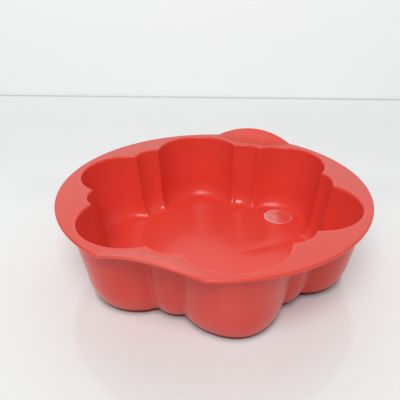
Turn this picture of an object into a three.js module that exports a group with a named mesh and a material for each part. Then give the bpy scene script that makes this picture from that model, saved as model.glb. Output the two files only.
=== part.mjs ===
// A flower-shaped silicone cake mould with a flat round flange and two raised finger grips,
// and the small round label that lies on its floor. Millimetres, +Z up, resting on z = 0.
// The origin is the centre of the resting face. The grips point along +Y and -Y.
import * as THREE from 'three';

const { clamp, degToRad, lerp } = THREE.MathUtils;
const QUARTER_TURN = Math.PI / 2;

// ---- heights and walls ----
const HEIGHT = 59.5;          // table to the top of the flat flange
const FLOOR_Z = 2.25;         // top of the floor, so also the floor's thickness
const WALL_TOP = 2.6;         // wall thickness at the flange's top level
const WALL_FOOT = 1.55;       // wall thickness at the foot
const TAPER = 0.00147;        // share by which the flower shrinks per mm of depth
const MID_DEPTH = 20;         // depth of the one ring between the rim and the foot roundings

// ---- flange and grips ----
const FLANGE_R = 119;         // outer radius of the round flange
const FLANGE_T = 2.4;         // flange thickness
const FLANGE_EDGE = 0.8;      // bevel of the flange's edge, top and bottom
const RIM_ROUND = 1.9;        // rounding from the flange top into the wall
const RIM_OUT_SHARE = 0.65;   // share of that rounding lying outside the flower outline
const RIM_BAND = 3.4;         // flat lip from the flower outline to the start of a grip's slope
const GRIP_RISE = 8.9;        // how far a finger grip lifts the flange's edge
const GRIP_HALF_ANGLE = degToRad(17.3); // half of a grip's width, seen from the centre
const GRIP_AXES = [QUARTER_TURN, -QUARTER_TURN];

// ---- roundings ----
const FOOT_EDGE_Z = 4.0;      // crisp edge round the foot; a bevel undercuts it down to the table
const OUTER_FOOT_H = 18.9;    // height of the rounding from the wall into the resting face
const INNER_FOOT_H = 16.5;    // height of the rounding from the wall into the floor
const RIDGE_ROUND = 2.0;      // rounding of the ridges between two lobes, inside
const VALLEY_ROUND = 3.2;     // rounding of the valleys between two lobes, outside
const MIN_ROUND = 0.35;       // smallest rounding between two lobes

const FILLET_STEPS = 2;       // segments round the rounding between two lobes
const FOOT_STEPS = 6;
const RIM_STEPS = 3;

// ---- lobes ----
// centre: distance of the lobe's centre from the axis; radius: of the inner wall at the rim;
// outerFoot, innerFoot: inset at the full depth of the outer and inner foot roundings;
// sole: inset of the outer wall on the table; steps: segments round the lobe.
const SMALL = {
  centre: 75.86, radius: 20.25, outerFoot: 9.1, sole: 5.2, innerFoot: 7.4, steps: 6,
};
const BIG = {
  centre: 75.18, radius: 37.36, outerFoot: 5.5, sole: 3.7, innerFoot: 4.5, steps: 16,
};
const LOBE_COUNT = 12;        // small and big lobes in turn
const LOBE_PITCH = degToRad(360 / LOBE_COUNT);

// ---- label ----
const LABEL = {
  radius: 13.1,
  edgeThickness: 0.4,
  recess: 0.15,               // depth of the middle below the raised edge
  edgeWidth: 1.3,             // from the outside to the inner side of the raised edge's top
  innerSlope: 0.2,            // width of the slope from the raised edge to the middle
  bottomBevel: 0.15,
  topBevelWidth: 0.3,
  topBevelHeight: 0.1,
  segments: 40,
  distance: 82.5,             // label centre from the mould's axis
  angle: degToRad(62.85),     // from +X towards +Y
};

// ---- the flower outline ----

/** The crossing point of two circles ({ centre, radius }) that lies farther from the axis. */
function outerCrossing(first, second) {
  const across = second.centre.clone().sub(first.centre);
  const distance = across.length();
  const along = (distance ** 2 + first.radius ** 2 - second.radius ** 2) / (2 * distance);
  const aside = Math.sqrt(Math.max(first.radius ** 2 - along ** 2, 0));
  across.divideScalar(distance);
  const foot = first.centre.clone().addScaledVector(across, along);
  const normal = new THREE.Vector2(-across.y, across.x);
  const onePoint = foot.clone().addScaledVector(normal, aside);
  const otherPoint = foot.clone().addScaledVector(normal, -aside);
  return onePoint.length() > otherPoint.length() ? onePoint : otherPoint;
}

/** Points on an arc, without its last, between the directions of two points seen from its centre.
 *  `middle` is an angle near the arc's middle. */
function arcPoints({ centre, radius, from, to, middle, steps, z }) {
  const angleNearMiddle = (point) => {
    const angle = Math.atan2(point.y - centre.y, point.x - centre.x);
    return middle + ((angle - middle + 3 * Math.PI) % (2 * Math.PI)) - Math.PI;
  };
  const start = angleNearMiddle(from);
  const end = angleNearMiddle(to);
  return Array.from({ length: steps }, (_, i) => {
    const angle = start + ((end - start) * i) / steps;
    const x = centre.x + radius * Math.cos(angle);
    const y = centre.y + radius * Math.sin(angle);
    return new THREE.Vector3(x, y, z);
  });
}

/** One closed, counterclockwise ring of the flower. Lobe centres and radii are scaled about the
 *  axis; each radius then grows by `offset` and shrinks by the lobe's own inset. `round` is the
 *  radius that eases one lobe into the next. */
function flower({ z, round, scale = 1, offset = 0, insetOf = () => 0 }) {
  const lobes = Array.from({ length: LOBE_COUNT }, (_, i) => {
    const size = i % 2 === 0 ? SMALL : BIG;
    const angle = (i + 1) * LOBE_PITCH;
    return {
      centre: new THREE.Vector2(Math.cos(angle), Math.sin(angle))
        .multiplyScalar(size.centre * scale),
      radius: size.radius * scale + offset - insetOf(size),
      angle,
      steps: size.steps,
    };
  });
  const lobeAfter = (i) => lobes[(i + 1) % LOBE_COUNT];

  // Centres of the roundings that touch a lobe and the next one from outside.
  const grown = ({ centre, radius }) => ({ centre, radius: radius + round });
  const fillets = lobes.map((lobe, i) => outerCrossing(grown(lobe), grown(lobeAfter(i))));

  return lobes.flatMap((lobe, i) => {
    const filletBefore = fillets[(i + LOBE_COUNT - 1) % LOBE_COUNT];
    const fillet = fillets[i];
    return [
      ...arcPoints({
        centre: lobe.centre,
        radius: lobe.radius,
        from: filletBefore,
        to: fillet,
        middle: lobe.angle,
        steps: lobe.steps,
        z,
      }),
      ...arcPoints({
        centre: fillet,
        radius: round,
        from: lobe.centre,
        to: lobeAfter(i).centre,
        middle: Math.atan2(-fillet.y, -fillet.x),
        steps: FILLET_STEPS,
        z,
      }),
    ];
  });
}

// ---- walls; depth is measured down from the top of the flange ----

/** How much of a foot rounding's inset is used at a depth: 0 on the wall, 1 on the flat. */
function footShare(depth, fullDepth, height) {
  const share = clamp((depth - (fullDepth - height)) / height, 0, 1);
  return 1 - Math.sqrt(1 - share * share);
}

function outerRing(depth) {
  const z = HEIGHT - depth;
  const share = footShare(Math.min(depth, HEIGHT - FOOT_EDGE_Z), HEIGHT, OUTER_FOOT_H);
  const bevel = clamp(1 - z / FOOT_EDGE_Z, 0, 1);
  return flower({
    z,
    round: VALLEY_ROUND,
    scale: 1 - TAPER * depth,
    offset: lerp(WALL_TOP, WALL_FOOT, depth / HEIGHT),
    insetOf: (lobe) => lerp(lobe.outerFoot * share, lobe.sole, bevel),
  });
}

function innerRing(depth) {
  const share = footShare(depth, HEIGHT - FLOOR_Z, INNER_FOOT_H);
  return flower({
    z: HEIGHT - depth,
    round: RIDGE_ROUND,
    scale: 1 - TAPER * depth,
    insetOf: (lobe) => lobe.innerFoot * share,
  });
}

/** Outer wall, from the resting face up to the flange's underside. */
function outerWallRings() {
  const edgeTurn = Math.asin(1 - FOOT_EDGE_Z / OUTER_FOOT_H);
  const rings = [outerRing(HEIGHT)];
  for (let i = FOOT_STEPS - 1; i >= 0; i--) {
    const drop = OUTER_FOOT_H * Math.sin((i / (FOOT_STEPS - 1)) * edgeTurn);
    rings.push(outerRing(HEIGHT - OUTER_FOOT_H + drop));
  }
  rings.push(outerRing(MID_DEPTH), outerRing(FLANGE_T));
  return rings;
}

/** Rounding from the flange top into the inner wall. */
function rimRings() {
  return Array.from({ length: RIM_STEPS + 1 }, (_, i) => {
    const turn = (i / RIM_STEPS) * QUARTER_TURN;
    const offset = RIM_ROUND * RIM_OUT_SHARE - RIM_ROUND * Math.sin(turn);
    return flower({
      z: HEIGHT - RIM_ROUND * (1 - Math.cos(turn)),
      round: Math.max(RIDGE_ROUND - offset, MIN_ROUND),
      offset,
    });
  });
}

/** Inner wall, from below the rim down to the floor. */
function innerWallRings() {
  const rings = [innerRing(MID_DEPTH)];
  for (let i = 0; i <= FOOT_STEPS; i++) {
    const drop = INNER_FOOT_H * Math.sin((i / FOOT_STEPS) * QUARTER_TURN);
    rings.push(innerRing(HEIGHT - FLOOR_Z - INNER_FOOT_H + drop));
  }
  return rings;
}

// ---- the flange: a flat round plate, lifted along two arcs ----

/** Angles of the flange's spokes: those of the lip, with one moved on to each end of a grip. */
function spokeAngles(lip) {
  const angles = lip.map((point) => Math.atan2(point.y, point.x));
  for (const axis of GRIP_AXES) {
    for (const side of [1, -1]) {
      const gripEnd = axis + side * GRIP_HALF_ANGLE;
      let nearest = 0;
      angles.forEach((angle, i) => {
        if (Math.abs(angle - gripEnd) < Math.abs(angles[nearest] - gripEnd)) nearest = i;
      });
      angles[nearest] = gripEnd;
    }
  }
  return angles;
}

/** Lift of the flange's outer edge at an angle: a parabola across each grip. */
function edgeLift(angle) {
  const offsets = GRIP_AXES.map((axis) => (angle - axis) / GRIP_HALF_ANGLE);
  const across = offsets.find((offset) => Math.abs(offset) < 1);
  return across === undefined ? 0 : GRIP_RISE * (1 - across * across);
}

/** The flange, from its underside at the lip, round its edge and back to the lip on top. */
function flangeRings() {
  const lip = flower({ z: 0, round: MIN_ROUND, offset: RIM_BAND });
  const angles = spokeAngles(lip);
  const underside = HEIGHT - FLANGE_T;

  // share: 0 at the lip, 1 at the round edge; inset: how far the end falls short of that edge
  const stations = [
    { share: 0, inset: 0, z: underside },
    { share: 0.5, inset: FLANGE_EDGE, z: underside },
    { share: 1, inset: FLANGE_EDGE, z: underside },
    { share: 1, inset: 0, z: underside + FLANGE_EDGE },
    { share: 1, inset: 0, z: HEIGHT - FLANGE_EDGE },
    { share: 1, inset: FLANGE_EDGE, z: HEIGHT },
    { share: 0.5, inset: FLANGE_EDGE, z: HEIGHT },
    { share: 0, inset: 0, z: HEIGHT },
  ];
  return stations.map(({ share, inset, z }) => angles.map((angle, i) => {
    const start = lip[i];
    const startR = Math.hypot(start.x, start.y);
    const endR = FLANGE_R - inset;
    const liftShare = ((endR - startR) * share) / (FLANGE_R - startR);
    return new THREE.Vector3(
      start.x + (Math.cos(angle) * endR - start.x) * share,
      start.y + (Math.sin(angle) * endR - start.y) * share,
      z + edgeLift(angle) * liftShare,
    );
  }));
}

// ---- pieces ----

/** Joins equal-length rings into one closed skin, with a fan to the axis at either end. */
function skin(rings) {
  const count = rings[0].length;
  const positions = rings.flat().flatMap((point) => [point.x, point.y, point.z]);
  const firstCentre = rings.length * count;
  const lastCentre = firstCentre + 1;
  positions.push(0, 0, rings[0][0].z);
  positions.push(0, 0, rings[rings.length - 1][0].z);

  const index = [];
  for (let j = 0; j + 1 < rings.length; j++) {
    const here = j * count;
    const above = here + count;
    for (let i = 0; i < count; i++) {
      const next = (i + 1) % count;
      index.push(here + i, here + next, above + next);
      index.push(here + i, above + next, above + i);
    }
  }
  const lastRing = (rings.length - 1) * count;
  for (let i = 0; i < count; i++) {
    const next = (i + 1) % count;
    index.push(firstCentre, next, i);
    index.push(lastCentre, lastRing + i, lastRing + next);
  }

  const geometry = new THREE.BufferGeometry();
  geometry.setAttribute('position', new THREE.Float32BufferAttribute(positions, 3));
  geometry.setIndex(index);
  geometry.computeVertexNormals();
  return geometry;
}

/** The moulding, swept as one skin from the resting face round to the floor. */
function makeBody() {
  const silicone = new THREE.MeshStandardMaterial({
    color: 0xdc3a30, roughness: 0.42, metalness: 0,
  });
  const rings = [...outerWallRings(), ...flangeRings(), ...rimRings(), ...innerWallRings()];
  const body = new THREE.Mesh(skin(rings), silicone);
  body.name = 'mould_body';
  return body;
}

/** A thin round disc with a slightly thicker edge, lying on the floor. */
function makeLabel() {
  const film = new THREE.MeshStandardMaterial({
    color: 0xe9b9b4, roughness: 0.25, metalness: 0,
  });
  const { radius, edgeThickness, recess, edgeWidth, distance, angle } = LABEL;
  const middleThickness = edgeThickness - recess;
  // Columns: radius, height above the floor.
  const profile = [
    [0, 0],
    [radius - LABEL.bottomBevel, 0],
    [radius, LABEL.bottomBevel],
    [radius, edgeThickness - LABEL.topBevelHeight],
    [radius - LABEL.topBevelWidth, edgeThickness],
    [radius - edgeWidth, edgeThickness],
    [radius - edgeWidth - LABEL.innerSlope, middleThickness],
    [0, middleThickness],
  ].map(([x, y]) => new THREE.Vector2(x, y));

  const label = new THREE.Mesh(new THREE.LatheGeometry(profile, LABEL.segments), film);
  label.name = 'floor_label';
  label.rotation.x = QUARTER_TURN; // the lathe's Y axis turns to +Z
  label.position.set(distance * Math.cos(angle), distance * Math.sin(angle), FLOOR_Z);
  return label;
}

const mould = new THREE.Group();
mould.name = 'cake_mould';
mould.add(makeBody(), makeLabel());

export default mould;
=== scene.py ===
"""A red silicone flower cake mould on a pale table.

The mould stands on z = 0, centred on the z axis, with its open side up. A round flange runs
round the rim, and its two lifted finger grips lie at -y (front) and +y (back). Six big lobes,
the first at +x, alternate with six small ones. A clear round film lies on the floor inside.
Moulding sizes are in mm; stage, light and shader sizes are in metres.
"""
import math

import bpy
import numpy as np
from mathutils import Euler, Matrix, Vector


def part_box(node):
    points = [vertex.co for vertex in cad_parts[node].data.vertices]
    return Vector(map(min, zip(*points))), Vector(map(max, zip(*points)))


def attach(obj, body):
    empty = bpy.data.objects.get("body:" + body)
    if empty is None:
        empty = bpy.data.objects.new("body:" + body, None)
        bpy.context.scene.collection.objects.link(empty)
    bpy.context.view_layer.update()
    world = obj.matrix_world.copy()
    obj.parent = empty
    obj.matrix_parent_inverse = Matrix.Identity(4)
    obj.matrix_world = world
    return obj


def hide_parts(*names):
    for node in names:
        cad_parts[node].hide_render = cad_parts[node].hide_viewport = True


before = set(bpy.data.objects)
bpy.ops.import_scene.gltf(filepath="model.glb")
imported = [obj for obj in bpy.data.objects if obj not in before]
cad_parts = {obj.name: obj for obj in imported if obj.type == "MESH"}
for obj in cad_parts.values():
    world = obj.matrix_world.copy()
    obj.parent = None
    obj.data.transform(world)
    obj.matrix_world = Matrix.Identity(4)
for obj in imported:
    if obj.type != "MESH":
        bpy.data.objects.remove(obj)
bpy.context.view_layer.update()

MM = 0.001

# ---------------------------------------------------------------------------------------------
# sizes, in mm
# ---------------------------------------------------------------------------------------------
body_lo, body_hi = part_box("mould_body")
label_lo, label_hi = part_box("floor_label")
HEIGHT = 59.5
FLOOR_Z = label_lo.z / MM
TAPER = 0.00147         # share of the plan lost per mm of depth

FLANGE_R = (body_hi.x - body_lo.x) / 2 / MM
FLANGE_T = 2.4
FLANGE_UNDER_ROUND, FLANGE_TOP_ROUND = 0.8, 1.1
FLANGE_ROOT = 1.6       # fillet between the outer wall and the flange
GRIP_RISE = 8.9
GRIP_HALF = math.radians(17.3)
GRIP_BLEND = 0.35       # softness of the grips' ends
GRIP_RAMP = 0.035       # softness of the start of their radial ramp, as a share of its length

RIM_ROUND = 1.9
RIM_OUT = RIM_ROUND * 0.65      # where the rim rounding starts, outside the inner wall
RIM_BAND = 3.4
RIM_EASE = 14.0         # depth over which the rim's inner edge joins the tapered wall

# lobes: distance of the centre, radius, then insets at the outer foot, the sole and the floor
SMALL = dict(centre=75.86, radius=20.25, outer=9.1, sole=5.2, inner=7.4)
BIG = dict(centre=75.18, radius=37.36, outer=5.5, sole=3.7, inner=4.5)
WALL_TOP, WALL_FOOT = 2.6, 1.55
FOOT_EDGE_Z = 4.0       # a crisp edge runs round the foot here, undercut by a bevel below it
OUTER_FOOT_H, INNER_FOOT_H = 18.9, 16.5
INNER_FOOT_DEPTH = HEIGHT - FLOOR_Z - INNER_FOOT_H
BIG_FILLET = 2.5        # extra inset of the inner fillet in the middle of a big lobe
RIDGE_ROUND = 2.0       # rounding of the ridges between the lobes, inside
RIDGE_ROUND_MIN = 0.35
VALLEY_ROUND = 3.2      # rounding of the valleys between the lobes, outside

BULGE_AT, BULGE_HALF = math.radians(-58), math.radians(17)
BULGE_PUSH, BULGE_H = 2.2, 30.0

N_SMALL, N_BIG, N_FILLET = 18, 60, 6        # segments of each arc
N_INNER_FOOT, N_FLOOR = 16, 40              # rings

LABEL_CENTRE = np.array([(label_lo.x + label_hi.x) / 2, (label_lo.y + label_hi.y) / 2]) / MM
LABEL_R = (label_hi.x - label_lo.x) / 2 / MM
N_LABEL = 72


# ---------------------------------------------------------------------------------------------
# small helpers
# ---------------------------------------------------------------------------------------------
def wrap(angle):
    return (angle + math.pi) % (2 * math.pi) - math.pi


def smoothstep(t):
    return t * t * (3 - 2 * t)


def quarter_turn(steps):
    return [i / steps * math.pi / 2 for i in range(steps + 1)]


def at_height(plan, z):
    return np.c_[plan, np.full(len(plan), z)]


def mesh_object(name, verts, faces, smooth=False):
    mesh = bpy.data.meshes.new(name)
    mesh.from_pydata(verts, [], faces)
    mesh.validate()
    mesh.update()
    if smooth:
        mesh.polygons.foreach_set("use_smooth", [True] * len(mesh.polygons))
    obj = bpy.data.objects.new(name, mesh)
    bpy.context.scene.collection.objects.link(obj)
    return obj


def add_attribute(obj, name, values):
    attribute = obj.data.attributes.new(name, "FLOAT", "POINT")
    attribute.data.foreach_set("value", np.array(values, dtype=np.float32))


# ---------------------------------------------------------------------------------------------
# the flower ring
# ---------------------------------------------------------------------------------------------
def crossing(a, radius_a, b, radius_b):
    """The outermost crossing of two circles."""
    between = b - a
    dist = np.hypot(*between)
    unit = between / dist
    x = (dist * dist + radius_a * radius_a - radius_b * radius_b) / (2 * dist)
    y = math.sqrt(max(radius_a * radius_a - x * x, 0.0))
    normal = np.array([-unit[1], unit[0]])
    p, q = a + unit * x + normal * y, a + unit * x - normal * y
    return p if np.hypot(*p) > np.hypot(*q) else q


def arc(centre, radius, start, end, middle, segments, inner=False):
    """Arc between the bearings of two points, through the middle angle; inner drops its ends."""
    def bearing(point):
        return middle + wrap(math.atan2(point[1] - centre[1], point[0] - centre[0]) - middle)

    t = np.linspace(bearing(start), bearing(end), segments + 1)
    if inner:
        t = t[1:-1]
    return np.stack([centre[0] + radius * np.cos(t), centre[1] + radius * np.sin(t)], 1)


def fillet(centre, start, end, radius):
    return arc(centre, radius, start, end, math.atan2(-centre[1], -centre[0]), N_FILLET, True)


def flower(scale, offset, insets, rounding, big_extra=0.0):
    """One closed plan of the flower; insets are taken off the (small, big) lobe radii."""
    small_r = SMALL["radius"] * scale + offset - insets[0]
    big_r = BIG["radius"] * scale + offset - insets[1]

    def place(lobe, angle):
        return lobe["centre"] * scale * np.array([math.cos(angle), math.sin(angle)])

    def fillet_centre(small, big):
        return crossing(small, small_r + rounding, big, big_r + rounding)

    middle = smoothstep(np.clip((1 - np.abs(np.linspace(-1, 1, N_BIG + 1))) / 0.45, 0, 1))
    parts = []
    for k in range(6):
        turn = math.radians(30 + 60 * k)
        big_turn = turn + math.pi / 6
        small, big = place(SMALL, turn), place(BIG, big_turn)
        big_before, small_after = place(BIG, turn - math.pi / 6), place(SMALL, turn + math.pi / 3)
        before = fillet_centre(small, big_before)
        between = fillet_centre(small, big)
        after = fillet_centre(small_after, big)
        big_arc = arc(big, big_r, between, after, big_turn, N_BIG)
        parts += [
            arc(small, small_r, before, between, turn, N_SMALL),
            fillet(between, small, big, rounding),
            big + (big_arc - big) * (1 - big_extra * middle / big_r)[:, None],
            fillet(after, big, small_after, rounding),
        ]
    return np.concatenate(parts)


def foot_share(depth, full, height):
    """How far round the foot's quarter ellipse: 0 on the wall, 1 at the full depth."""
    w = min(max((depth - (full - height)) / height, 0.0), 1.0)
    return 1 - math.sqrt(1 - w * w)


def outer_ring(depth, extra=0.0):
    wall = WALL_TOP + (WALL_FOOT - WALL_TOP) * depth / HEIGHT
    z = HEIGHT - depth
    share = foot_share(min(depth, HEIGHT - FOOT_EDGE_Z), HEIGHT, OUTER_FOOT_H)
    bevel = 1 - min(z, FOOT_EDGE_Z) / FOOT_EDGE_Z
    insets = tuple(lobe["outer"] * share * (1 - bevel) + lobe["sole"] * bevel
                   for lobe in (SMALL, BIG))
    p = flower(1 - TAPER * depth, wall + extra, insets, VALLEY_ROUND)
    # the soft wall stands a little proud at the foot of the lobe beside the front grip
    across = np.abs(wrap(np.arctan2(p[:, 1], p[:, 0]) - BULGE_AT)) / BULGE_HALF
    bell = np.where(across < 1, np.cos(np.minimum(across, 1) * math.pi / 2) ** 2, 0)
    push = BULGE_PUSH * (1 - smoothstep(min(z / BULGE_H, 1.0))) * bell
    return at_height(p + p / np.hypot(p[:, 0], p[:, 1])[:, None] * push[:, None], z)


def inner_ring(depth):
    share = foot_share(depth, HEIGHT - FLOOR_Z, INNER_FOOT_H)
    insets = (SMALL["inner"] * share, BIG["inner"] * share)
    plan = flower(1 - TAPER * depth, 0.0, insets, RIDGE_ROUND, BIG_FILLET * share)
    return at_height(plan, HEIGHT - depth)


def lip_ring(offset, z):
    return at_height(flower(1.0, offset, (0, 0), max(RIDGE_ROUND - offset, RIDGE_ROUND_MIN)), z)


# ---------------------------------------------------------------------------------------------
# the flange, with its two lifted finger grips
# ---------------------------------------------------------------------------------------------
def smooth_positive(x, e):
    return 0.5 * (x + np.sqrt(x * x + e * e)) - 0.5 * e * np.exp(-np.abs(x) / (4 * e))


def edge_lift(angle):
    lift = np.zeros_like(angle)
    for axis in (math.pi / 2, -math.pi / 2):
        t = wrap(angle - axis) / GRIP_HALF
        hump = smooth_positive(GRIP_RISE * (1 - np.minimum(t * t, 2.0)), GRIP_BLEND)
        lift = np.maximum(lift, np.clip(hump, 0, None))
    return lift


def soft_ramp(s):
    k = GRIP_RAMP
    return (np.sqrt((s - k) ** 2 + k * k * 0.5) + (s - k)) / 2


def flange_ring(base, share, radius, z):
    """A share of the way from the base ring to the circle of that radius, lifted at the grips."""
    base_r = np.hypot(base[:, 0], base[:, 1])
    angle = np.arctan2(base[:, 1], base[:, 0])
    r = base_r + (radius - base_r) * share
    ramp = soft_ramp((r - base_r) / (FLANGE_R - base_r))
    rise = np.clip((ramp - soft_ramp(0)) / (soft_ramp(1) - soft_ramp(0)), 0, None)
    return np.stack([np.cos(angle) * r, np.sin(angle) * r, z + edge_lift(angle) * rise], 1)


# ---------------------------------------------------------------------------------------------
# the rings of the skin, from the middle of the sole, round the flange, to the middle of the floor
# ---------------------------------------------------------------------------------------------
SOLE_SHARES = (0.1, 0.3, 0.55, 0.75, 0.9, 0.97, 0.993)
BEVEL_HEIGHTS = (0.2, 1.0, 1.8, 2.4, 2.9, 3.2, 3.45, 3.7)
UNDER_SHARES = (0.03, 0.07, 0.13, 0.25, 0.4, 0.55, 0.7, 0.85, 0.95)
TOP_SHARES = (0.95, 0.85, 0.7, 0.55, 0.4, 0.25, 0.16, 0.1, 0.06, 0.03)


def outside_rings():
    """The sole, the bevel, the rounded foot, the wall and the fillet under the flange."""
    sole_edge = outer_ring(HEIGHT)
    rings = [sole_edge * np.array([s, s, 1.0]) for s in SOLE_SHARES]
    rings.append(sole_edge)
    rings += [outer_ring(HEIGHT - z) for z in BEVEL_HEIGHTS]
    foot_top = HEIGHT - OUTER_FOOT_H
    edge_turn = math.asin(1 - (FOOT_EDGE_Z + 0.3) / OUTER_FOOT_H)
    for i in range(14, -1, -1):
        rings.append(outer_ring(foot_top + OUTER_FOOT_H * math.sin(i / 14 * edge_turn)))
    for depth in np.linspace(foot_top, FLANGE_T + FLANGE_ROOT, 9)[1:]:
        rings.append(outer_ring(float(depth)))
    for a in quarter_turn(5)[1:]:
        rings.append(outer_ring(FLANGE_T + FLANGE_ROOT * (1 - math.sin(a)),
                                FLANGE_ROOT * (1 - math.cos(a))))
    return rings


def underside_rings(base):
    z, rounding = HEIGHT - FLANGE_T, FLANGE_UNDER_ROUND
    rings = [flange_ring(base, s, FLANGE_R - rounding, z) for s in UNDER_SHARES]
    for a in quarter_turn(4):
        rings.append(flange_ring(base, 1.0, FLANGE_R - rounding * (1 - math.sin(a)),
                                 z + rounding * (1 - math.cos(a))))
    return rings


def flange_top_rings():
    base, rounding = lip_ring(RIM_BAND, HEIGHT), FLANGE_TOP_ROUND
    rings = []
    for a in quarter_turn(7):
        rings.append(flange_ring(base, 1.0, FLANGE_R - rounding * (1 - math.cos(a)),
                                 HEIGHT - rounding * (1 - math.sin(a))))
    rings += [flange_ring(base, s, FLANGE_R - rounding, HEIGHT) for s in TOP_SHARES]
    return rings + [base]


def cavity_rings():
    """The lip, the rim rounding, the inner wall and the fillet down to the floor."""
    rings = [lip_ring(2.6, HEIGHT), lip_ring(1.9, HEIGHT)]
    for a in quarter_turn(8):
        rings.append(lip_ring(RIM_OUT - RIM_ROUND * math.sin(a),
                              HEIGHT - RIM_ROUND * (1 - math.cos(a))))
    # the wall starts at the rim rounding's inner edge and eases on to the taper
    for depth in np.linspace(RIM_ROUND, INNER_FOOT_DEPTH, 11)[1:]:
        depth = float(depth)
        ease = (RIM_OUT - RIM_ROUND) * max(0.0, 1 - (depth - RIM_ROUND) / RIM_EASE) ** 2
        rings.append(at_height(flower(1 - TAPER * depth, ease, (0, 0), RIDGE_ROUND),
                               HEIGHT - depth))
    for a in quarter_turn(N_INNER_FOOT)[1:]:
        rings.append(inner_ring(INNER_FOOT_DEPTH + INNER_FOOT_H * math.sin(a)))
    return rings


outside = outside_rings()
underside = underside_rings(outside[-1])
flange_top = flange_top_rings()
cavity = cavity_rings()
floor = [cavity[-1] * np.array([s, s, 1.0]) for s in np.linspace(0.975, 0.025, N_FLOOR)]

# ring numbers where each part starts; the satin top starts part way round the flange's edge
BEVEL_AT = len(SOLE_SHARES)
FLANGE_AT = len(outside) + len(underside) + 4
LIP_AT = len(outside) + len(underside) + len(flange_top)
FLOOR_AT = LIP_AT + len(cavity)

points = np.array(outside + underside + flange_top + cavity + floor)     # rings x points x 3
n_ring, n_point = points.shape[:2]


# ---------------------------------------------------------------------------------------------
# unevenness
# ---------------------------------------------------------------------------------------------
def wave(p, seed, size):
    """Slow, smooth unevenness, as soft silicone has: a fixed sum of sines, about -1 to 1."""
    rng = np.random.RandomState(seed)
    total = np.zeros(p.shape[:-1])
    for _ in range(7):
        k = rng.normal(size=3)
        k *= 2 * math.pi / (size * np.linalg.norm(k)) * rng.uniform(0.7, 1.5)
        total += np.sin(p @ k + rng.uniform(0, 2 * math.pi))
    return total / 3.5


def trough(p, start, end, depth, start_width, end_width):
    """A shallow fold in the floor: deeper and wider towards its end, faded at both ends."""
    start, end = np.array(start), np.array(end)
    length = np.hypot(*(end - start))
    unit = (end - start) / length
    u = (p[:, :2] - start) @ unit / length
    v = (p[:, :2] - start) @ np.array([-unit[1], unit[0]])
    along = np.clip(u, 0, 1)
    fade = np.clip((u + 0.15) / 0.3, 0, 1) * np.clip((1.25 - u) / 0.35, 0, 1)
    width = start_width + (end_width - start_width) * along
    return -depth * (0.4 + 0.6 * along) * np.exp(-0.5 * (v / width) ** 2) * fade


# slow waves and one fold in the floor, dying out at the fillet
for j in range(FLOOR_AT, n_ring):
    fade = min((j - FLOOR_AT + 1) / 10.0, 1.0)
    flat = points[j] * np.array([1.0, 1.0, 0.0])
    fold = trough(flat, start=(28.0, 9.0), end=(65.0, 47.0), depth=0.95,
                  start_width=3.0, end_width=5.6)
    points[j, :, 2] += 0.16 * fade * wave(flat, seed=5, size=62.0) + fade * fold
# the walls, the lip and the inner part of the flange wander a little too
for j in range(FLOOR_AT):
    ring = points[j]
    if ring[0, 2] > 20 or j > LIP_AT:
        shift = np.stack([wave(ring, 11, 70.0), wave(ring, 12, 70.0), np.zeros(n_point)], 1)
        inside_edge = np.hypot(ring[:, 0], ring[:, 1]) < FLANGE_R - 4
        points[j] += 0.10 * shift * inside_edge[:, None]


# ---------------------------------------------------------------------------------------------
# the skin
# ---------------------------------------------------------------------------------------------
def skin_faces():
    faces = []
    for j in range(n_ring - 1):
        a = j * n_point + np.arange(n_point)
        b = j * n_point + (np.arange(n_point) + 1) % n_point
        faces += np.stack([a, b, b + n_point, a + n_point], 1).tolist()
    sole_middle, floor_middle = n_ring * n_point, n_ring * n_point + 1
    last = (n_ring - 1) * n_point
    for i in range(n_point):
        after = (i + 1) % n_point
        faces.append([sole_middle, after, i])
        faces.append([floor_middle, last + i, last + after])
    return faces


def satin_by_ring():
    """0.6 outside and underneath, 1 on the flange top, fading to 0 down the inner wall; it sets the
    finish and where the flange's painted shade goes.
    """
    satin = np.full(n_ring, 0.6)
    satin[FLANGE_AT:] = 1.0
    satin[LIP_AT:] = np.clip(1 - np.arange(n_ring - LIP_AT) / 8.0, 0, 1)
    return satin


def painted_foot_shade_by_ring():
    """Mask for the painted shade on the foot: 1 on the bevel, to just short of the foot's crisp
    edge.
    """
    painted_foot_shade = np.zeros(n_ring)
    painted_foot_shade[BEVEL_AT:BEVEL_AT + 8] = [1.0] * 7 + [0.6]
    return painted_foot_shade


def dull_by_point():
    """Wide inner fillets of the big lobes are duller, tight ones of the small lobes shinier."""
    across = np.abs(np.linspace(-1, 1, N_BIG + 1))
    between = np.zeros(N_FILLET - 1)
    around = np.tile(np.concatenate([np.full(N_SMALL + 1, -3.0), between,
                                     np.clip((1 - across) / 0.5, 0, 1), between]), 6)
    dull = np.zeros((n_ring, n_point))
    foot_at = FLOOR_AT - N_INNER_FOOT
    for j in range(foot_at, n_ring):
        rise = min((j - foot_at) / 12.0, 1.0)
        fall = 1 - min(max(0, j - FLOOR_AT) / 12.0, 1.0)
        dull[j] = around * smoothstep(rise) * smoothstep(fall)
    return dull.ravel()


middles = np.array([[0, 0, points[0, 0, 2]], [0, 0, points[-1, 0, 2]]])
skin_verts = np.concatenate([points.reshape(-1, 3), middles]) * MM
skin = mesh_object("mould_skin", skin_verts.tolist(), skin_faces(), smooth=True)
# each attribute ends with its values at the middles of the sole and the floor
for name, values, at_middles in (
    ("satin", np.repeat(satin_by_ring(), n_point), [1.0, 0.0]),
    # this mask paints shade on the foot's bevel
    ("painted_foot_shade", np.repeat(painted_foot_shade_by_ring(), n_point), [0.0, 0.0]),
    ("dull", dull_by_point(), [0.0, 0.0]),
):
    add_attribute(skin, name, np.concatenate([values, at_middles]))


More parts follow.
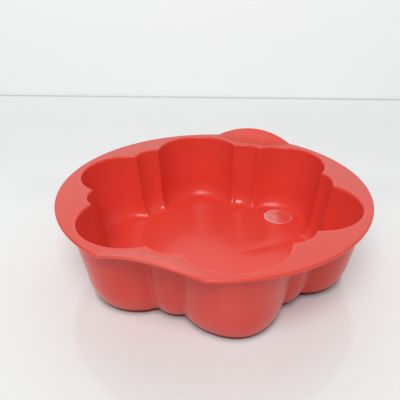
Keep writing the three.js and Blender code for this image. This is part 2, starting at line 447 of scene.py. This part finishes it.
# ---------------------------------------------------------------------------------------------
# shader nodes
# ---------------------------------------------------------------------------------------------
class Nodes:
    """Adds nodes to one tree. Inputs may be given as plain values or as sockets to link."""

    def __init__(self, tree):
        self.tree = tree

    def feed(self, node, inputs):
        for key, value in inputs.items():
            if isinstance(value, bpy.types.NodeSocket):
                self.tree.links.new(value, node.inputs[key])
            else:
                node.inputs[key].default_value = value

    def add(self, kind, inputs=None, **props):
        node = self.tree.nodes.new(kind)
        for key, value in props.items():
            setattr(node, key, value)
        self.feed(node, inputs or {})
        return node

    def math(self, operation, *values):
        return self.add("ShaderNodeMath", dict(enumerate(values)), operation=operation).outputs[0]

    def times(self, a, b):
        return self.math("MULTIPLY", a, b)

    def plus(self, a, b):
        return self.math("ADD", a, b)

    def dot(self, x, y, direction):
        return self.plus(self.times(x, direction[0]), self.times(y, direction[1]))

    def coords(self, output="Object"):
        return self.add("ShaderNodeTexCoord").outputs[output]

    def split(self, vector):
        return self.add("ShaderNodeSeparateXYZ", {0: vector}).outputs

    def attribute(self, name):
        return self.add("ShaderNodeAttribute", attribute_name=name).outputs["Fac"]

    def noise(self, where, scale, detail):
        inputs = {"Scale": scale, "Detail": detail, "Vector": where}
        return self.add("ShaderNodeTexNoise", inputs).outputs["Fac"]

    def remap(self, value, span, to=(0.0, 1.0), **props):
        inputs = {"From Min": span[0], "From Max": span[1], "To Min": to[0], "To Max": to[1],
                  "Value": value}
        return self.add("ShaderNodeMapRange", inputs, **props).outputs["Result"]

    def step(self, angle, degrees, to=(0.0, 1.0)):
        """A smooth step as the angle crosses a span given in degrees."""
        span = [math.radians(d) for d in degrees]
        return self.remap(angle, span, to, interpolation_type="SMOOTHSTEP")

    def mix(self, factor, first, second):
        mix = self.add("ShaderNodeMix", data_type="RGBA")
        mix.inputs[6].default_value = (0, 0, 0, 1)      # stays black beneath a link
        self.feed(mix, {0: factor, 6: first, 7: second})
        return mix.outputs[2]

    def bump(self, height, strength, distance):
        inputs = {"Strength": strength, "Distance": distance, "Height": height}
        return self.add("ShaderNodeBump", inputs).outputs["Normal"]


def new_material(name):
    material = bpy.data.materials.new(name)
    material.use_nodes = True
    return material, Nodes(material.node_tree), material.node_tree.nodes["Principled BSDF"]


# ---------------------------------------------------------------------------------------------
# materials of the mould
# ---------------------------------------------------------------------------------------------
def silicone():
    """Soft red silicone: satin with a whitish bloom outside and on the flange, glossier inside."""
    material, n, bsdf = new_material("silicone_red")
    where = n.coords()
    satin = n.attribute("satin")
    dull = n.attribute("dull")

    # slow colour drift in the pigment
    drift = n.noise(where, scale=18.0, detail=3.0)
    color = n.mix(n.remap(drift, span=(0.3, 0.7)), (0.75, 0.054, 0.036, 1), (0.78, 0.064, 0.043, 1))
    # dust specks: small dots in a few of the cells
    cells = n.add("ShaderNodeTexVoronoi", {"Scale": 95.0, "Vector": where}, feature="F1")
    pick = n.add("ShaderNodeSeparateColor", {0: cells.outputs["Color"]})
    speck = n.times(n.math("LESS_THAN", cells.outputs["Distance"], 0.045),
                    n.math("GREATER_THAN", pick.outputs[0], 0.965))
    color = n.mix(n.times(speck, 0.75), color, (0.93, 0.60, 0.53, 1))
    # painted shade: the flange top and the lip are coloured a darker red than the walls, toning
    # down the light that falls on them from above
    color = n.mix(n.remap(satin, span=(0.6, 1.0)), color, (0.69, 0.058, 0.036, 1))
    # painted light: the lifted grips are coloured paler, standing in for the extra light their
    # tilted tops catch
    height = n.split(where)[2]
    color = n.mix(n.remap(height, span=(0.0600, 0.0640)), color, (0.80, 0.084, 0.058, 1))
    # painted shade: the bevel below the foot's edge is coloured dark red and given little shine,
    # standing in for the shadow in the gap under the foot
    painted_foot_shade = n.attribute("painted_foot_shade")
    color = n.mix(painted_foot_shade, color, (0.20, 0.009, 0.008, 1))
    shine = n.math("SUBTRACT", n.remap(painted_foot_shade, span=(0.0, 1.0), to=(0.5, 0.08)),
                   n.times(n.math("MAXIMUM", dull, 0.0), 0.20))
    specular = n.math("MAXIMUM", shine, 0.02)

    # patches of slightly duller and shinier surface, duller outside than in
    patches = n.remap(n.noise(where, scale=40.0, detail=4.0), span=(0.25, 0.75),
                      to=(-0.016, 0.016))
    level = n.remap(satin, span=(0.0, 1.0), to=(0.225, 0.37))
    dull_by = n.times(dull, 0.032)
    # fine moulding grain over slow orange-peel
    relief = n.plus(n.noise(where, scale=2600.0, detail=2.0),
                    n.times(n.noise(where, scale=260.0, detail=2.0), 1.4))
    n.feed(bsdf, {
        "Base Color": color,
        "Specular IOR Level": specular,
        "Roughness": n.plus(n.plus(patches, level), dull_by),
        "Sheen Weight": n.remap(satin, span=(0.0, 1.0), to=(0.03, 0.30)),
        "Sheen Roughness": 0.35,
        "Sheen Tint": (1.0, 0.93, 0.92, 1),
        "Normal": n.bump(relief, strength=0.12, distance=0.00015),
        "IOR": 1.43,
    })
    return material


def film():
    """Thin clear film with a few scuffs; a painted reflection makes its -x side paler and more
    opaque, and a painted highlight brightens its cut edge.
    """
    material, n, bsdf = new_material("label_film")
    where = n.coords()
    painted_glare = n.attribute("painted_glare")
    edge = n.attribute("edge")
    cloud = n.noise(where, scale=150.0, detail=4.0)
    # painted reflection: paler and more opaque towards the -x side, broken up by the noise
    glare_tone = n.times(painted_glare, n.remap(cloud, span=(0.3, 0.7), to=(0.55, 1.0)))
    scuff = n.remap(n.noise(where, scale=520.0, detail=3.0), span=(0.60, 0.72), to=(0.0, 0.22))
    # the painted reflection and the painted edge highlight make the film paler here; the scuffs are
    # wear
    cover = n.plus(n.plus(n.times(glare_tone, 0.50), scuff), n.times(edge, 0.45))
    n.feed(bsdf, {
        "Alpha": n.math("MINIMUM", n.plus(cover, 0.10), 0.9),
        "Base Color": n.mix(glare_tone, (0.95, 0.36, 0.33, 1), (0.97, 0.58, 0.56, 1)),
        "Roughness": n.remap(cloud, span=(0.3, 0.7), to=(0.12, 0.30)),
        "Normal": n.bump(n.noise(where, scale=320.0, detail=2.0), strength=0.25, distance=0.0003),
        "IOR": 1.48,
    })
    return material


skin.data.materials.append(silicone())
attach(skin, "root")
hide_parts("mould_body")

# ---------------------------------------------------------------------------------------------
# the round film on the floor, with a thicker cut edge and a painted reflection on its -x side
# ---------------------------------------------------------------------------------------------
# the painted reflection lies on the side this way
GLARE_DIRECTION = np.array([math.cos(math.radians(199)), math.sin(math.radians(199))])
# the painted highlight on the cut edge is weakest at this bearing
EDGE_DIMMEST = math.radians(95)
FILM_TOP, FILM_BOTTOM = 0.22, 0.01      # heights above the floor
# (radius share, height above the floor, weight of the painted edge highlight), from the middle of
# the top to underneath
FILM_PROFILE = [
    (0.12, FILM_TOP, 0), (0.3, FILM_TOP, 0), (0.5, FILM_TOP, 0), (0.68, FILM_TOP, 0),
    (0.8, FILM_TOP, 0), (0.87, 0.23, 0), (0.905, 0.26, 0.2), (0.93, 0.34, 0.8), (0.95, 0.38, 1),
    (0.975, 0.385, 1), (0.99, 0.34, 1), (0.997, 0.24, 1), (0.997, 0.1, 1), (0.985, 0.02, 1),
    (0.9, FILM_BOTTOM, 0), (0.5, FILM_BOTTOM, 0), (0.12, FILM_BOTTOM, 0),
]


def build_label():
    verts, painted_glare, edge = [], [], []
    for share, height, weight in FILM_PROFILE:
        for a in np.linspace(0, 2 * math.pi, N_LABEL, endpoint=False):
            d = np.array([math.cos(a), math.sin(a)]) * share
            x, y = LABEL_CENTRE + d * LABEL_R
            ripple = 0.0
            if height > 0.2 and weight == 0:
                ripple = 0.018 * math.sin(x / 2.1 + 1.3) * math.sin(y / 2.9)
            verts.append((x * MM, y * MM, (FLOOR_Z + height + ripple) * MM))
            # how far the point lies towards the side with the painted reflection
            lifted = (float(d @ GLARE_DIRECTION) + 0.35) / 0.75
            painted_glare.append(smoothstep(min(max(lifted, 0.0), 1.0)))
            # painted highlight on the cut edge, strongest opposite EDGE_DIMMEST
            edge.append(weight * (0.30 + 0.70 * (1 - max(0.0, math.cos(a - EDGE_DIMMEST)))))
    top_middle, bottom_middle = len(verts), len(verts) + 1
    for height in (FILM_TOP, FILM_BOTTOM):
        verts.append((LABEL_CENTRE[0] * MM, LABEL_CENTRE[1] * MM, (FLOOR_Z + height) * MM))
        painted_glare.append(0.0)
        edge.append(0)

    faces = []
    for j in range(len(FILM_PROFILE) - 1):
        here, below = j * N_LABEL, (j + 1) * N_LABEL
        for i in range(N_LABEL):
            after = (i + 1) % N_LABEL
            faces.append((here + i, below + i, below + after, here + after))
    last = (len(FILM_PROFILE) - 1) * N_LABEL
    for i in range(N_LABEL):
        after = (i + 1) % N_LABEL
        faces.append((top_middle, i, after))
        faces.append((bottom_middle, last + after, last + i))

    label = mesh_object("label_film_disc", verts, faces, smooth=True)
    add_attribute(label, "painted_glare", painted_glare)
    add_attribute(label, "edge", edge)
    label.data.materials.append(film())
    return label


label = build_label()
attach(label, "root")
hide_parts("floor_label")

# ---------------------------------------------------------------------------------------------
# stage: table and backdrop, in metres
# ---------------------------------------------------------------------------------------------
CAMERA_AT = Vector((0.11613513, -0.32766213, 0.23025247))
AIM = math.atan2(-CAMERA_AT.y, -CAMERA_AT.x)        # heading from the camera to the mould
VIEW_AHEAD = (math.cos(AIM), math.sin(AIM))
VIEW_RIGHT = (math.sin(AIM), -math.cos(AIM))

TABLE_Z = -0.00005
TABLE_COLOR = (0.62, 0.625, 0.62, 1)
STRIP_HALF = 2.4
# the table meets the wall along a straight line behind the mould
SEAM_A, SEAM_B = Vector((-0.4637, 0.3239, 0)), Vector((0.1175, 0.5125, 0))
SEAM_MIDDLE = (SEAM_A + SEAM_B) / 2
SEAM_ALONG = (SEAM_B - SEAM_A).normalized()
SEAM_FRONT = Vector((SEAM_ALONG.y, -SEAM_ALONG.x, 0))     # from the wall towards the camera


def table_material():
    material, n, bsdf = new_material("pale_table")
    # painted light: the table glows a little, more to the sides and towards the back, as a lit
    # paper sweep is brighter there
    where = n.coords()
    x, y, _ = n.split(where)
    right = n.dot(x, y, VIEW_RIGHT)
    ahead = n.dot(x, y, VIEW_AHEAD)
    side_glow = n.remap(n.math("ABSOLUTE", right), span=(0.05, 0.22), to=(0.160, 0.245))
    back_glow = n.remap(ahead, span=(0.02, 0.16), to=(0.155, 0.245))
    glow = n.math("MAXIMUM", side_glow, back_glow)
    fibre = n.remap(n.noise(where, scale=900.0, detail=3.0), span=(0.3, 0.7), to=(-0.006, 0.006))
    # painted shadow: the table's colour and glow go darker and pinker right beside the foot, where
    # the mould's contact shadow falls
    occlusion = n.add("ShaderNodeAmbientOcclusion", {"Distance": 0.0052}, samples=12)
    openness = n.remap(occlusion.outputs["AO"], span=(0.15, 0.80))
    n.feed(bsdf, {
        "Base Color": n.mix(openness, (0.50, 0.37, 0.365, 1), TABLE_COLOR),
        "Roughness": 0.09,
        "IOR": 1.5,
        "Emission Color": (0.93, 1.0, 1.0, 1),
        "Emission Strength": n.times(n.plus(glow, fibre), openness),
    })
    bsdf.inputs["Base Color"].default_value = TABLE_COLOR
    return material


def wall_material():
    material, n, bsdf = new_material("pale_wall")
    n.feed(bsdf, {
        "Base Color": (0.86, 0.87, 0.865, 1),
        "Roughness": 0.8,
        "Emission Color": (0.97, 1.0, 0.99, 1),
        "Emission Strength": 0.18,
    })
    return material


def seam_material():
    material, n, bsdf = new_material("seam_shadow")
    n.feed(bsdf, {"Base Color": (0.75, 0.76, 0.755, 1), "Roughness": 0.9})
    return material


def strip(name, edges, material):
    """A flat strip along the seam between two (distance in front of the seam, height) edges."""
    verts = []
    for distance, z in edges:
        for end in (-STRIP_HALF, STRIP_HALF):
            p = SEAM_MIDDLE + SEAM_FRONT * distance + SEAM_ALONG * end
            verts.append((p.x, p.y, z))
    obj = mesh_object(name, verts, [(0, 1, 3, 2)])
    obj.data.materials.append(material)


strip("table", [(2.6, TABLE_Z), (-0.02, TABLE_Z)], table_material())
strip("backdrop", [(0.0, TABLE_Z), (0.0, 0.19)], wall_material())
strip("seam", [(0.0015, 0.0), (0.0008, 0.0016)], seam_material())


# ---------------------------------------------------------------------------------------------
# camera and lights
# ---------------------------------------------------------------------------------------------
def add_camera():
    lens = bpy.data.cameras.new("camera")
    lens.sensor_fit = "HORIZONTAL"
    lens.sensor_width = 36.0
    lens.lens = 45.105
    lens.clip_start = 0.01
    lens.shift_x = -0.00125
    lens.shift_y = 0.0006
    camera = bpy.data.objects.new("camera", lens)
    camera.location = CAMERA_AT
    tilt = [math.radians(v) for v in (62.38467, 0.23613, 21.01927)]
    camera.rotation_euler = Euler(tilt, "XYZ")
    bpy.context.scene.collection.objects.link(camera)
    bpy.context.scene.camera = camera


def box_light(name, elevation, side, size, radiance, distance=1.3):
    """A square light; side is in degrees from the camera's heading, positive to the right."""
    el, az = math.radians(elevation), AIM + math.pi + math.radians(side)
    direction = Vector((math.cos(az) * math.cos(el), math.sin(az) * math.cos(el), math.sin(el)))
    place = direction * distance
    lamp = bpy.data.lights.new(name, "AREA")
    lamp.shape = "SQUARE"
    lamp.size = size
    lamp.energy = radiance * math.pi * size ** 2
    obj = bpy.data.objects.new(name, lamp)
    obj.location = place
    obj.rotation_euler = (Vector((0, 0, 0.03)) - place).to_track_quat("-Z", "Y").to_euler()
    bpy.context.scene.collection.objects.link(obj)


add_camera()
# the softbox hangs in front of the mould, above the camera; a dimmer one stands to its left
box_light("softbox", elevation=56, side=-6, size=0.60, radiance=10.3)
box_light("fill", elevation=50, side=-45, size=0.45, radiance=2.0)


# ---------------------------------------------------------------------------------------------
# world: pale walls at eye level, brighter behind the mould, dim where the camera stands
# ---------------------------------------------------------------------------------------------
def build_world():
    world = bpy.data.worlds.new("world")
    bpy.context.scene.world = world
    world.use_nodes = True
    n = Nodes(world.node_tree)
    x, y, z = n.split(n.coords("Generated"))
    elevation = n.math("ARCSINE", z)
    ahead = n.dot(x, y, VIEW_AHEAD)
    right = n.dot(x, y, VIEW_RIGHT)
    # angle from the camera's side of the table, positive to the right
    turn = n.math("ARCTAN2", right, n.times(ahead, -1.0))
    left_turn = n.times(turn, -1.0)
    far = n.step(n.math("ABSOLUTE", turn), (115, 160))
    band = n.times(n.step(elevation, (-12, 14)), n.step(elevation, (44, 62), to=(1.0, 0.0)))

    def side_wall(angle):
        return n.times(band, n.times(n.step(angle, (30, 72)),
                                     n.step(angle, (115, 160), to=(1.0, 0.0))))

    # (where it shines, brightness)
    terms = [
        (side_wall(left_turn), 0.10),
        (side_wall(turn), 0.28),
        # low and high behind the mould
        (n.times(far, n.step(elevation, (26, 44), to=(1.0, 0.0))), 0.98),
        (n.times(far, n.times(n.step(elevation, (26, 44)),
                              n.step(elevation, (70, 84), to=(1.0, 0.0)))), 0.86),
        # all round
        (n.plus(1.0, 0.0), 0.155),
    ]
    room = None
    for shape, level in terms:
        gain = n.add("ShaderNodeValue")
        gain.outputs[0].default_value = level
        part = n.times(shape, gain.outputs[0])
        room = part if room is None else n.plus(room, part)
    background = world.node_tree.nodes["Background"]
    n.feed(background, {"Strength": room, "Color": (1, 1, 1, 1)})


build_world()

view = bpy.context.scene.view_settings
view.view_transform = "Standard"
view.look = "None"
view.exposure = 0.0
view.gamma = 1.0
